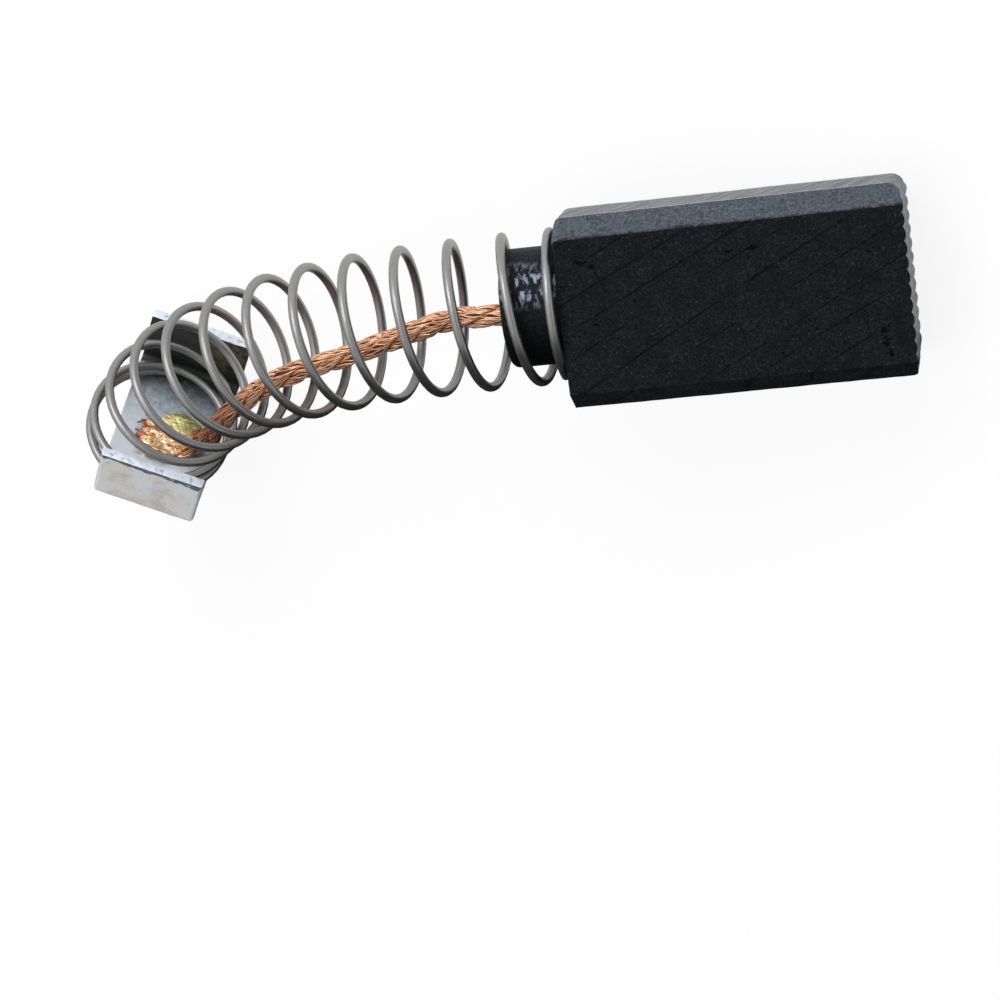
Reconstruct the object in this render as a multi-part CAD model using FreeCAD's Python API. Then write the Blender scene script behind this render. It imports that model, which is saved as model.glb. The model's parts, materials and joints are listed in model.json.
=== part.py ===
import FreeCAD, Part
import math
import os

V = FreeCAD.Vector

# Carbon block: x runs from the shoulder to the wear face, y over the width, z over the thickness
block_length = 19.75
block_width = 11.0
block_thickness = 7.0
corner_on_width = 1.07
corner_on_thickness = 1.62
wear_corner_radius = 0.7
ridge_count = 12
ridge_height = 0.13
spigot_diameter = 6.86
spigot_length = 3.45
spigot_rise = 0.3
spigot_edge_radius = 0.35

# Shunt lead and the bore it is tamped into
lead_diameter = 1.42
bore_diameter = 2.6
bore_depth = 6.4
lead_in_bore = 5.4
lead_straight = 1.8

# Pressure spring: closed at both ends, bent more and more towards the terminal, wound right-handed
wire_diameter = 0.55
coil_diameter = 9.1
coil_drop = 0.1
spring_length = 32.37
spring_bend = 66.0
bend_power = 1.81
bend_plane = 58.4
bend_twist = -16.5
turns_before_top = 0.42
turns_after_top = 12.14
open_turns = 11.0
lift_off = (-0.25, 0.49)
close_up = (10.8, 11.4)
pitch_taper = 0.147
pitch_bow = 0.38
closed_pitch = 0.62
seat_clearance = 0.02
arcs_per_turn = 8

# Terminal: a strip folded to a channel that takes the last coils
terminal_height = 10.9
terminal_width = 6.44
flange_height = 5.5
sheet = 0.6
inner_bend_radius = 0.35
terminal_turn = -54.6
terminal_shift_up = 0.24
terminal_shift_side = -0.634

# Flattened lead end on the terminal and the filler under it
pad_length = 3.9
pad_width = 2.7
pad_thickness = 0.5
pad_up = -0.65
pad_side = 0.0
pad_corner = 0.86
filler_thickness = 0.14
filler_margin = 0.35
filler_corner = 1.08

# Lead route inside the spring: share of the spring, way in towards the bend, way to the side
lead_route = [(0.22, 1.02, -0.3), (0.45, 2.77, 0.31), (0.65, 3.0, 0.03), (0.82, 2.62, 1.0)]

# Last two points of the route, off the middle of the pad: up, side and out of the plate
lead_landing = [(-0.38, -2.4, 1.35), (-0.29, -1.28, 0.3)]


def unit(v):
    w = V(v)
    w.normalize()
    return w


def smooth(x, low, high):
    q = min(max((x - low) / (high - low), 0.0), 1.0)
    return q * q * (3.0 - 2.0 * q)


# Block outline seen on the broad face, with the scalloped wear edge
def wear_outline():
    half = block_width / 2
    flat = block_width - 2 * wear_corner_radius
    pitch = flat / ridge_count
    low = V(block_length - wear_corner_radius, -half, 0)
    edges = [Part.makeLine(V(0, -half, 0), low)]
    s = wear_corner_radius * (1 - math.sqrt(0.5))
    valley = block_length - ridge_height
    bottom = V(valley, -half + wear_corner_radius, 0)
    edges.append(Part.Arc(low, V(valley - s, -half + s, 0), bottom).toShape())
    for i in range(ridge_count):
        y = -flat / 2 + i * pitch
        start = V(valley, y, 0)
        crest = V(block_length, y + pitch / 2, 0)
        end = V(valley, y + pitch, 0)
        edges.append(Part.Arc(start, crest, end).toShape())
    top = V(valley, half - wear_corner_radius, 0)
    high = V(block_length - wear_corner_radius, half, 0)
    edges.append(Part.Arc(top, V(valley - s, half - s, 0), high).toShape())
    edges.append(Part.makeLine(high, V(0, half, 0)))
    edges.append(Part.makeLine(V(0, half, 0), V(0, -half, 0)))
    return Part.Face(Part.Wire(edges))


def prism(points, way):
    return Part.Face(Part.makePolygon(points + [points[0]])).extrude(way)


# Cross-section of the block with its four long corners taken off
def cornered_bar():
    h = block_width / 2
    k = block_thickness / 2
    corners = []
    for sy, sz in ((1, 1), (-1, 1), (-1, -1), (1, -1)):
        on_side = V(0, sy * h, sz * (k - corner_on_thickness))
        on_face = V(0, sy * (h - corner_on_width), sz * k)
        pair = [on_side, on_face]
        corners += pair if sy * sz > 0 else pair[::-1]
    return prism(corners, V(block_length, 0, 0))


def carbon_block():
    plate = wear_outline().extrude(V(0, 0, block_thickness))
    plate.translate(V(0, 0, -block_thickness / 2))
    body = plate.common(cornered_bar())
    spigot = Part.makeCylinder(
        spigot_diameter / 2, 2 * spigot_length, V(spigot_length, spigot_rise, 0), V(-1, 0, 0)
    )
    end_rim = [e for e in spigot.Edges if abs(e.CenterOfMass.x + spigot_length) < 1e-6]
    spigot = spigot.makeFillet(spigot_edge_radius, end_rim)
    body = body.fuse(spigot).removeSplitter()
    bore = Part.makeCylinder(
        bore_diameter / 2, bore_depth, V(-spigot_length, 0, 0), V(1, 0, 0)
    )
    return body.cut(bore)


# Powder tamped round the lead in the bore, flush with the spigot's end
def tamping_plug():
    plug = Part.makeCylinder(
        bore_diameter / 2, bore_depth, V(-spigot_length, 0, 0), V(1, 0, 0)
    )
    lead = Part.makeCylinder(
        lead_diameter / 2, lead_in_bore, V(-spigot_length, 0, 0), V(1, 0, 0)
    )
    return plug.cut(lead)


# Direction of the spring's centre line, and the way in towards the bend
def bend_direction(share):
    turn = math.radians(spring_bend) * share ** bend_power
    plane = math.radians(bend_plane + bend_twist * (share - 0.5))
    back = V(-1, 0, 0)
    bend_way = V(0, -math.cos(plane), -math.sin(plane))
    along = back * math.cos(turn) + bend_way * math.sin(turn)
    inward = bend_way * math.cos(turn) - back * math.sin(turn)
    return along, inward


def spring_axis(count=600):
    point = V(-wire_diameter / 2 - seat_clearance, spigot_rise - coil_drop, 0)
    step = spring_length / count
    stations = []
    for i in range(count + 1):
        along, inward = bend_direction(i / count)
        stations.append((V(point), along, inward))
        point = point + bend_direction((i + 0.5) / count)[0] * step
    return stations


AXIS = spring_axis()


def station(share):
    x = min(max(share, 0.0), 1.0) * (len(AXIS) - 1)
    i = min(int(x), len(AXIS) - 2)
    f = x - i
    a, b = AXIS[i], AXIS[i + 1]
    point = a[0] * (1 - f) + b[0] * f
    along = unit(a[1] * (1 - f) + b[1] * f)
    inward = unit(a[2] * (1 - f) + b[2] * f)
    return point, along, inward, along.cross(inward)


# The block's width direction, turned the shortest way with the spring's centre line
def carried_up(along):
    start = V(-1, 0, 0)
    width = V(0, 1, 0)
    return width - (start + along) * (along.dot(width) / (1 + start.dot(along)))


# Wire centre of the coil at a number of turns, counted from the first crest over the block's edge
def coil_way():
    count = 400
    first, last = -turns_before_top, turns_after_top
    step = (last - first) / count
    opened = [0.0]
    for i in range(count):
        t = first + (i + 0.5) * step
        rate = smooth(t, *lift_off) * (1 - smooth(t, *close_up))
        u = t / open_turns - 0.5
        pitch = 1 - pitch_taper * u + pitch_bow * (u * u - 1 / 12)
        opened.append(opened[-1] + rate * pitch * step)
    open_part = spring_length - closed_pitch * (last - first)
    return [(closed_pitch * i * step + open_part * opened[i] / opened[-1]) / spring_length
            for i in range(count + 1)]


COIL_WAY = coil_way()


def coil_point(turns):
    x = (turns + turns_before_top) / (turns_after_top + turns_before_top) * (len(COIL_WAY) - 1)
    i = min(max(int(x), 0), len(COIL_WAY) - 2)
    way = COIL_WAY[i] + (COIL_WAY[i + 1] - COIL_WAY[i]) * (x - i)
    point, along, inward, side = station(way)
    upward = carried_up(along)
    across = upward.cross(along)
    angle = 2 * math.pi * turns
    radius = (coil_diameter - wire_diameter) / 2
    return point + (upward * math.cos(angle) - across * math.sin(angle)) * radius


# Arc from one point to another, tangent to the two legs of the corner between them
def corner_arc(start, corner, end):
    turn = (corner - start).getAngle(end - corner)
    if turn < 1e-4:
        return Part.makeLine(start, end)
    chord = (start + end) * 0.5
    middle = chord + (corner - chord) * (math.tan(turn / 4) / math.tan(turn / 2))
    return Part.Arc(start, middle, end).toShape()


# Two tangent arcs that join two points with given directions
def biarc(start, start_way, end, end_way):
    v = end - start
    a = 2 * (1 - start_way.dot(end_way))
    b = 2 * v.dot(start_way + end_way)
    c = v.dot(v)
    leg = (-b + math.sqrt(b * b + 4 * a * c)) / (2 * a) if a > 1e-9 else c / b
    first = start + start_way * leg
    second = end - end_way * leg
    joint = (first + second) * 0.5
    return [corner_arc(start, first, joint), corner_arc(joint, second, end)]


def round_bar(edges, start, way, diameter):
    ring = Part.Wire(Part.Circle(start, way, diameter / 2).toShape())
    return Part.Wire(edges).makePipe(Part.Face(ring))


def pressure_spring():
    first, last = -turns_before_top, turns_after_top
    count = round((last - first) * arcs_per_turn / 2)
    step = (last - first) / count
    small = 1e-4
    knots = []
    for i in range(count + 1):
        t = first + i * step
        way = coil_point(min(t + small, last)) - coil_point(max(t - small, first))
        knots.append((coil_point(t), unit(way)))
    edges = []
    for (p, u), (q, w) in zip(knots, knots[1:]):
        edges += biarc(p, u, q, w)
    return round_bar(edges, knots[0][0], knots[0][1], wire_diameter)


# Terminal frame: origin at the middle of the plate's back, up the plate, to the side, to the coil
def terminal_frame():
    end, along, inward, side = station(1.0)
    out = along * -1
    upward = carried_up(along)
    across = out.cross(upward)
    turn = math.radians(terminal_turn)
    up = upward * math.cos(turn) + across * math.sin(turn)
    aside = out.cross(up)
    back = sheet + seat_clearance + wire_diameter / 2
    origin = end - out * back + up * terminal_shift_up + aside * terminal_shift_side
    return origin, up, aside, out


def on_plate(up, side, out):
    origin, u, s, o = terminal_frame()
    return origin + u * up + s * side + o * out


def place_on_plate(shape):
    origin, u, s, o = terminal_frame()
    m = FreeCAD.Matrix(
        u.x, s.x, o.x, origin.x,
        u.y, s.y, o.y, origin.y,
        u.z, s.z, o.z, origin.z,
        0, 0, 0, 1,
    )
    shape.Placement = FreeCAD.Placement(m)
    return shape


def terminal_cap():
    h = terminal_height / 2
    w = terminal_width / 2
    outer = inner_bend_radius + sheet
    box = Part.makeBox(terminal_height, terminal_width, flange_height, V(-h, -w, 0))
    back = [e for e in box.Edges
            if abs(e.CenterOfMass.z) < 1e-6 and abs(abs(e.CenterOfMass.x) - h) < 1e-6]
    box = box.makeFillet(outer, back)
    inside = Part.makeBox(
        terminal_height - 2 * sheet, terminal_width + 2, flange_height,
        V(-h + sheet, -w - 1, sheet),
    )
    floor = [e for e in inside.Edges
             if abs(e.CenterOfMass.z - sheet) < 1e-6 and abs(abs(e.CenterOfMass.x) - h + sheet) < 1e-6]
    inside = inside.makeFillet(inner_bend_radius, floor)
    return box.cut(inside)


def rounded_pad(length, width, thickness, lift, corner):
    pad = Part.makeBox(width, length, thickness, V(pad_up - width / 2, pad_side - length / 2, lift))
    upright = [e for e in pad.Edges if abs(e.BoundBox.ZLength - thickness) < 1e-6]
    return pad.makeFillet(corner, upright)


# Straight runs joined by arcs as large as their shorter run allows
def rounded_rope(points):
    edges = []
    last = points[0]
    radii = []
    for before, corner, after in zip(points, points[1:], points[2:]):
        leg = 0.45 * min((corner - before).Length, (after - corner).Length)
        start = corner - unit(corner - before) * leg
        end = corner + unit(after - corner) * leg
        if (start - last).Length > 1e-6:
            edges.append(Part.makeLine(last, start))
        edges.append(corner_arc(start, corner, end))
        turn = (corner - before).getAngle(after - corner)
        radii.append(round(leg / math.tan(turn / 2), 2) if turn > 1e-4 else None)
        last = end
    edges.append(Part.makeLine(last, points[-1]))
    print("lead radii", radii)
    return round_bar(edges, points[0], unit(points[1] - points[0]), lead_diameter)


def shunt_lead():
    mouth = V(-spigot_length - lead_straight, 0, 0)
    points = [V(-spigot_length, 0, 0), mouth]
    for share, inward_way, side_way in lead_route:
        point, along, inward, side = station(share)
        points.append(point + inward * inward_way + side * side_way)
    rest = sheet + filler_thickness + lead_diameter / 2
    for up, side, out in lead_landing:
        points.append(on_plate(pad_up + up, pad_side + side, rest + out))
    points.append(on_plate(pad_up, pad_side, rest))
    rope = rounded_rope(points)
    buried = Part.makeCylinder(lead_diameter / 2, lead_in_bore, V(-spigot_length, 0, 0), V(1, 0, 0))
    pad = rounded_pad(pad_length, pad_width, pad_thickness, sheet + filler_thickness, pad_corner)
    return rope.fuse([buried, place_on_plate(pad)])


def braze_filler():
    more = 2 * filler_margin
    return rounded_pad(pad_length + more, pad_width + more, filler_thickness, sheet, filler_corner)


# Rest on the wear edge and the lowest corner of the terminal
def lie_down(shapes):
    edge_x, edge_z = block_length, -block_thickness / 2
    low = 0.0
    for up in (-terminal_height / 2, terminal_height / 2):
        for side in (-terminal_width / 2, terminal_width / 2):
            for out in (0.3, flange_height):
                p = on_plate(up, side, out)
                low = max(low, math.degrees(math.atan2(edge_z - p.z, edge_x - p.x)))
    wear_centre = V(block_length, 0, 0)
    for shape in shapes.values():
        shape.translate(wear_centre * -1)
        shape.rotate(V(0, 0, 0), V(0, 1, 0), low)
    return low


parts = {
    "carbon_block": carbon_block(),
    "tamping_plug": tamping_plug(),
    "shunt_lead": shunt_lead(),
    "pressure_spring": pressure_spring(),
    "terminal_cap": place_on_plate(terminal_cap()),
    "braze_filler": place_on_plate(braze_filler()),
}
tilt = lie_down(parts)

os.makedirs("parts", exist_ok=True)
for name, shape in parts.items():
    shape.exportStep("parts/" + name + ".step")
    print(name, shape.isValid(), round(shape.Volume, 3), len(shape.Faces), "solids", len(shape.Solids))
print("tilt", round(tilt, 3))
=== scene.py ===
import json
import math
import random

import bpy
from bpy.props import FloatProperty, FloatVectorProperty, IntProperty, PointerProperty
from mathutils import Matrix, Vector, noise


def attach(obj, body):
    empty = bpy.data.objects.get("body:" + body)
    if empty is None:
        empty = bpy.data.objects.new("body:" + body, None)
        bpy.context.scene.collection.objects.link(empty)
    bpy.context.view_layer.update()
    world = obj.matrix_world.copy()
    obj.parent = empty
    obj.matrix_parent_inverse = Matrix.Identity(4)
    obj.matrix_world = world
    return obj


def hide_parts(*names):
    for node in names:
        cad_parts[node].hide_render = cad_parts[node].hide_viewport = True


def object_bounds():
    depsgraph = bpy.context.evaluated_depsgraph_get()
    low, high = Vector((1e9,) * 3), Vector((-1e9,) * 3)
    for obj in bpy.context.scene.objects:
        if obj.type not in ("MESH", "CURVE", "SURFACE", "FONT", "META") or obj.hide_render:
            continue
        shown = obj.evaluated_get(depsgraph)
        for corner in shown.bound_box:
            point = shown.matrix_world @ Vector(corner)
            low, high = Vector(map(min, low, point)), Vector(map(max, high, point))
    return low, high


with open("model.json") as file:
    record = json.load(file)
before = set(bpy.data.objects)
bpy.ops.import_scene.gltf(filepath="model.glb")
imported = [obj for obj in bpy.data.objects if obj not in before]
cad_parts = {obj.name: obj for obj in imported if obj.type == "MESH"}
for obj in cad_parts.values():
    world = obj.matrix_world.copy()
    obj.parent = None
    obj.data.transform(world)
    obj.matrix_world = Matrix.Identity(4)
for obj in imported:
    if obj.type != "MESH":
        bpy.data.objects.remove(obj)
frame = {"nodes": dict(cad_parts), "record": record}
CAD_BOX = [list(corner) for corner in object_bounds()]

bl_info = {
    "name": "Carbon brush",
    "version": (1, 0, 0),
    "blender": (4, 5, 0),
    "location": "View3D > Sidebar > Carbon brush",
    "description": "Dresses a carbon brush with its spring, copper lead and folded terminal",
    "category": "Object",
}

MM = 0.001
TINY = 1e-6
WHITE = (1.0, 1.0, 1.0)

# Lead's way through the coil: share of the coil's length, mm towards the inside of the bend, mm sideways
LEAD_ROUTE = [(0.22, 1.02, -0.3), (0.45, 2.77, 0.31), (0.65, 3.0, 0.03), (0.82, 2.62, 1.0)]
# Its way down to the plate: mm up the plate, across it and out of it, from the middle of the pressed end
LANDING = [(-0.1, -2.5, 1.9), (0.3, -2.1, 1.0), (0.2, -1.5, 0.36), (0.1, -0.4, 0.17), (0.0, 2.05, 0.16)]

# Small chips on the broad faces: mm from the wear face, mm across, and length and width in mm
CHIPS = [
    (-18.25, 3.1, 0.45, 0.13), (-17.7, 2.75, 0.26, 0.1), (-9.8, 2.95, 0.22, 0.14), (-8.5, 2.9, 0.36, 0.11),
    (-2.1, 2.1, 0.16, 0.13), (-4.4, 0.3, 0.1, 0.08), (-17.7, -0.6, 0.14, 0.08), (-12.6, -1.9, 0.12, 0.08),
    (-1.7, -2.5, 0.12, 0.14), (-1.65, -3.1, 0.1, 0.3), (-1.45, -3.7, 0.09, 0.26), (-7.4, -3.2, 0.12, 0.07),
]


def size(value, description):
    """A length, given in millimetres."""
    return FloatProperty(description=description, default=value * MM, unit="LENGTH", precision=5)


def angle(degrees, description):
    turn = math.radians(degrees)
    return FloatProperty(description=description, default=turn, subtype="ANGLE", unit="ROTATION")


def number(value, description):
    return FloatProperty(description=description, default=value)


def count(value, description):
    return IntProperty(description=description, default=value)


def colour(value, description):
    return FloatVectorProperty(description=description, default=value, subtype="COLOR", min=0.0, max=1.0)


class BlockSizes(bpy.types.PropertyGroup):
    length: size(19.75, "From the shoulder to the crests of the wear face")
    width: size(11.0, "Across the broad face")
    thickness: size(7.0, "Between the broad faces")
    corner_on_width: size(1.07, "What a ground corner takes off the broad face")
    corner_on_thickness: size(1.62, "What a ground corner takes off the side")
    wear_corner: size(0.7, "Radius of the wear face's upper corner")
    lower_corner: size(0.25, "Radius of the wear face's lower corner")
    cell: size(0.1, "Width of the cells of the end faces")
    ridges: count(12, "Ridges across the wear face")
    ridge_height: size(0.13, "Crest to valley of the wear face")
    spigot_diameter: size(6.86, "Round end that centres the spring")
    spigot_length: size(3.45, "From the shoulder to the spigot's end")
    spigot_rise: size(0.3, "How far the spigot is off the middle of the width")
    bore_diameter: size(2.6, "Blind bore that the lead is tamped into")
    bore_depth: size(6.4, "From the spigot's end to the bottom of the bore")
    shoulder_round: size(0.5, "Rounding of the shoulder's upper edge")
    edge_wear: size(0.07, "Width of the rubbed band along each edge")


class SpringSizes(bpy.types.PropertyGroup):
    wire: size(0.55, "Diameter of the wire")
    coil: size(9.1, "Outside diameter of the coil")
    length: size(32.37, "Along the middle of the coil")
    drop: size(0.1, "How far the coil hangs below the spigot's middle")
    seat: size(0.02, "Clearance at both ends")
    closed_pitch: size(0.62, "Pitch of the end coils")
    bend: angle(66.0, "Turn of the coil's middle line")
    bend_power: number(1.81, "How late the bend comes")
    bend_plane: angle(58.4, "Turn of the bend's plane about the block's length")
    bend_twist: angle(-16.5, "How far that plane turns along the coil")
    turns_before: number(0.42, "Turns before the first crest")
    turns_after: number(12.14, "Turns after the first crest")
    open_turns: number(11.0, "Turns over which the pitch changes")
    pitch_taper: number(0.147, "How the pitch falls along the coil")
    pitch_bow: number(0.38, "How much wider the coil is spaced at its ends")
    points_per_turn: count(48, "Points on each turn")


class LeadSizes(bpy.types.PropertyGroup):
    diameter: size(1.34, "Over the rope")
    lay: size(6.0, "Length in which a strand goes once round the rope")
    wire_lay: size(2.8, "Length in which a wire goes once round its strand")
    strands: count(3, "Strands in the rope")
    wires: count(17, "Wires seen round each strand")
    strand_deep: size(0.62, "Across a strand, towards the rope's middle")
    strand_wide: size(0.82, "Across a strand, round the rope")
    wire: size(0.12, "Diameter of a wire")
    # Dark tube inside each strand: painted shade between the wires.
    core: size(0.46, "Diameter of the dark core that fills each strand")
    step: size(0.18, "Distance between the points of a wire")
    in_bore: size(5.4, "Length tamped into the bore")
    straight: size(1.8, "Straight length outside the bore")
    pad_length: size(3.9, "Length of the pressed end")
    pad_width: size(2.7, "Width of the pressed end")
    pad_thickness: size(0.5, "Thickness of the pressed end")
    pad_up: size(-0.65, "Middle of the pressed end, up the plate")
    pad_side: size(0.0, "Middle of the pressed end, across the plate")
    filler: size(0.14, "Thickness of the filler under the pressed end")


class TerminalSizes(bpy.types.PropertyGroup):
    height: size(10.9, "Over both flanges")
    width: size(6.44, "Width of the strip")
    flange: size(5.5, "From the back to the rim of a flange")
    sheet: size(0.6, "Thickness of the strip")
    fold: size(0.35, "Inside radius of the folds")
    shift_up: size(0.24, "Plate's middle off the coil's middle, upwards")
    shift_side: size(-0.634, "Plate's middle off the coil's middle, sideways")
    turn: angle(-54.6, "Turn of the plate about the coil's end")


class Finishes(bpy.types.PropertyGroup):
    pressed: colour((0.0095, 0.0115, 0.0135), "Broad faces and spigot")
    ground: colour((0.072, 0.084, 0.104), "Ground corners")
    milled: colour((0.15, 0.158, 0.174), "Sides and wear face")
    rubbed: colour((0.04, 0.046, 0.055), "Worn edges")
    powder: colour((0.04, 0.033, 0.03), "Powder round the lead")
    steel: colour((0.305, 0.302, 0.3), "Drawn wire")
    zinc: colour((0.78, 0.82, 0.86), "Plated sheet, outer side")
    # The inner side's darker bluish colour is painted shade on the same plating as the outer side.
    zinc_inner: colour((0.42, 0.49, 0.55), "Plated sheet, inner side")
    copper: colour((0.9, 0.44, 0.27), "Bare wires")
    brass: colour((0.62, 0.55, 0.2), "Solidified filler")
    floor: colour((0.82, 0.82, 0.82), "Plain pale floor")


class Brush(bpy.types.PropertyGroup):
    block: PointerProperty(type=BlockSizes)
    spring: PointerProperty(type=SpringSizes)
    lead: PointerProperty(type=LeadSizes)
    terminal: PointerProperty(type=TerminalSizes)
    finish: PointerProperty(type=Finishes)


def brush():
    return bpy.context.scene.carbon_brush


# Places and ways
def turn_to(x, y, z):
    """Turn to the frame that has the three given directions."""
    return Matrix((x, y, z)).transposed().to_4x4()


def lie_down():
    """Turn from the block's own frame, origin at the wear face, to the part as it lies."""
    mounts = {mount["name"]: mount for mount in frame["record"]["mounts"]}
    along = Vector(mounts["wear_face"]["axis"]).normalized()
    across = Vector((0, 1, 0))
    return turn_to(along, across, along.cross(across))


def mix(a, b, share):
    return a * (1 - share) + b * share


def smooth(x, low, high):
    q = min(max((x - low) / (high - low), 0.0), 1.0)
    return q * q * (3.0 - 2.0 * q)


def hashed(*numbers):
    return random.Random(repr(numbers)).random()


def uneven(*place):
    return noise.noise(Vector(place))


def bend_direction(share):
    """Direction of the coil's middle line, and the way towards the inside of its bend."""
    s = brush().spring
    turn = s.bend * share ** s.bend_power
    plane = s.bend_plane + s.bend_twist * (share - 0.5)
    back = Vector((-1, 0, 0))
    sideways = Vector((0, -math.cos(plane), -math.sin(plane)))
    along = back * math.cos(turn) + sideways * math.sin(turn)
    inward = sideways * math.cos(turn) - back * math.sin(turn)
    return along, inward


def spring_axis(steps=600):
    b, s = brush().block, brush().spring
    point = Vector((-b.length - s.wire / 2 - s.seat, b.spigot_rise - s.drop, 0))
    stations = []
    for i in range(steps + 1):
        stations.append((point.copy(), *bend_direction(i / steps)))
        point += bend_direction((i + 0.5) / steps)[0] * (s.length / steps)
    return stations


def station(axis, share):
    x = min(max(share, 0.0), 1.0) * (len(axis) - 1)
    i = min(int(x), len(axis) - 2)
    point, along, inward = (mix(axis[i][k], axis[i + 1][k], x - i) for k in range(3))
    along.normalize()
    inward.normalize()
    return point, along, inward, along.cross(inward)


def carried_up(along):
    """The block's width direction, turned the shortest way with the coil's middle line."""
    start, width = Vector((-1, 0, 0)), Vector((0, 1, 0))
    return width - (start + along) * (along.dot(width) / (1 + start.dot(along)))


def coil_way(steps=400):
    """Share of the coil's length that the wire has covered at each of a number of equal steps."""
    s = brush().spring
    lift_off, close_up = (-0.25, 0.49), (10.8, 11.4)
    turns = s.turns_before + s.turns_after
    step = turns / steps
    opened = [0.0]
    for i in range(steps):
        t = -s.turns_before + (i + 0.5) * step
        rate = smooth(t, *lift_off) * (1 - smooth(t, *close_up))
        u = t / s.open_turns - 0.5
        opened.append(opened[-1] + rate * (1 - s.pitch_taper * u + s.pitch_bow * (u * u - 1 / 12)) * step)
    open_part = s.length - s.closed_pitch * turns
    return [(s.closed_pitch * i * step + open_part * opened[i] / opened[-1]) / s.length
            for i in range(steps + 1)]


def coil_point(axis, way, turns):
    s = brush().spring
    x = (turns + s.turns_before) / (s.turns_after + s.turns_before) * (len(way) - 1)
    i = min(max(int(x), 0), len(way) - 2)
    point, along, inward, side = station(axis, mix(way[i], way[i + 1], x - i))
    upward = carried_up(along)
    turn = 2 * math.pi * turns
    radius = (s.coil - s.wire) / 2
    return point + (upward * math.cos(turn) - upward.cross(along) * math.sin(turn)) * radius


def terminal_place():
    """From the plate's own directions (up, across, out) to the block's frame."""
    s, t = brush().spring, brush().terminal
    end, along, inward, side = station(spring_axis(), 1.0)
    out = along * -1
    upward = carried_up(along)
    up = upward * math.cos(t.turn) + out.cross(upward) * math.sin(t.turn)
    across = out.cross(up)
    place = turn_to(up, across, out)
    place.translation = end - out * (t.sheet + s.seat + s.wire / 2) + up * t.shift_up + across * t.shift_side
    return place


# Modelling helpers
def clear_selection():
    if bpy.context.object and bpy.context.object.mode != "OBJECT":
        leave_edit()
    bpy.ops.object.select_all(action="DESELECT")


def leave_edit():
    bpy.ops.object.mode_set(mode="OBJECT")


def take(piece):
    clear_selection()
    piece.select_set(True)
    bpy.context.view_layer.objects.active = piece


def added(name):
    piece = bpy.context.object
    piece.name = name
    piece.data.name = name
    return piece


def linked(name, data):
    item = bpy.data.objects.new(name, data)
    bpy.context.scene.collection.objects.link(item)
    return item


def edit_all():
    bpy.ops.object.mode_set(mode="EDIT")
    bpy.ops.mesh.select_all(action="SELECT")


def face_outwards(inside=False):
    bpy.ops.mesh.select_all(action="SELECT")
    bpy.ops.mesh.normals_make_consistent(inside=inside)
    leave_edit()


def draw_out(*way):
    bpy.ops.mesh.extrude_region_move(TRANSFORM_OT_translate={"value": way})


def pick_edges(piece, test):
    """Selects the edges whose two ends pass the test, and stays in Edit mode."""
    take(piece)
    bpy.ops.object.mode_set(mode="EDIT")
    bpy.ops.mesh.select_mode(type="EDGE")
    bpy.ops.mesh.select_all(action="DESELECT")
    leave_edit()
    for edge in piece.data.edges:
        edge.select = test(*(piece.data.vertices[i].co for i in edge.vertices))
    bpy.ops.object.mode_set(mode="EDIT")


def modify(piece, *kinds):
    """Adds modifiers, each given as its kind and its settings, and applies them."""
    for kind, settings in kinds:
        modifier = piece.modifiers.new(kind.title(), kind)
        for key, value in settings.items():
            setattr(modifier, key, value)
    take(piece)
    for modifier in list(piece.modifiers):
        bpy.ops.object.modifier_apply(modifier=modifier.name)


def dents(name, feature, depth):
    """Settings that make a surface uneven; how wide and deep in mm."""
    texture = bpy.data.textures.new(name, "CLOUDS")
    texture.noise_scale = feature * MM
    texture.noise_depth = 2
    return "DISPLACE", {"texture": texture, "strength": depth * MM, "texture_coords": "LOCAL"}


def rounding(width, degrees, **settings):
    return "BEVEL", {"width": width, "segments": 2, "limit_method": "ANGLE",
                     "angle_limit": math.radians(degrees), **settings}


def coat(piece, *materials):
    for material in materials:
        piece.data.materials.append(material)


def finish_piece(piece, place, slot, *nodes, smooth_angle=80):
    """Puts the place of a piece into its mesh; then its shading, body and the nodes it replaces; the slot is
    not used.
    """
    piece.data.transform(place)
    piece.data.update()
    take(piece)
    bpy.ops.object.shade_smooth_by_angle(angle=math.radians(smooth_angle))
    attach(piece, "root")
    if nodes:
        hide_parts(*nodes)
    clear_selection()


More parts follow.
